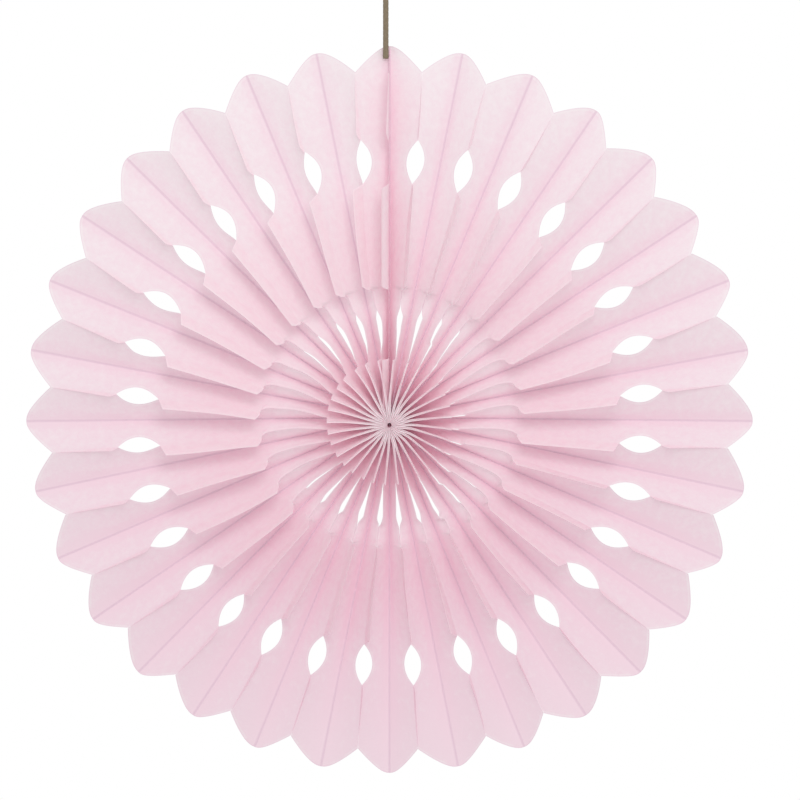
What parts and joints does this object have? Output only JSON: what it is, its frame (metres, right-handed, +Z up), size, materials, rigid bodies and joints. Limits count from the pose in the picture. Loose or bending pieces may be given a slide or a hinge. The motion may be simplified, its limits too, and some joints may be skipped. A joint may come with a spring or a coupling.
{
  "type": "paper fan rosette",
  "caption": "Round hanging rosette of folded tissue leaves with petal ends and eye-shaped holes, on a cord with a small loop.",
  "frame": {"origin": "middle of the rim circle, halfway through the depth of the folded leaves", "axes": "+X to the right seen from the front, +Y towards the back (the front faces -Y), +Z up towards the cord"},
  "size_m": [0.4062, 0.0302, 0.5009],
  "materials": {
    "tissue": "matt, slightly see-through tissue",
    "cord": "matt twisted fibre"
  },
  "bodies": {
    "root": {"leaf_01": "tissue", "leaf_02": "tissue", "leaf_03": "tissue", "leaf_04": "tissue", "leaf_05": "tissue", "leaf_06": "tissue", "leaf_07": "tissue", "leaf_08": "tissue", "leaf_09": "tissue", "leaf_10": "tissue", "leaf_11": "tissue", "leaf_12": "tissue", "leaf_13": "tissue", "leaf_14": "tissue", "leaf_15": "tissue", "leaf_16": "tissue", "leaf_17": "tissue", "leaf_18": "tissue", "leaf_19": "tissue", "leaf_20": "tissue", "leaf_21": "tissue", "leaf_22": "tissue", "leaf_23": "tissue", "leaf_24": "tissue", "leaf_25": "tissue", "leaf_26": "tissue", "leaf_27": "tissue", "leaf_28": "tissue", "leaf_29": "tissue", "leaf_30": "tissue", "leaf_31": "tissue", "leaf_32": "tissue", "leaf_33": "tissue", "hanging_cord": "cord", "cord_knot": "cord", "hanging_loop": "cord"}
  },
  "joints": []
}
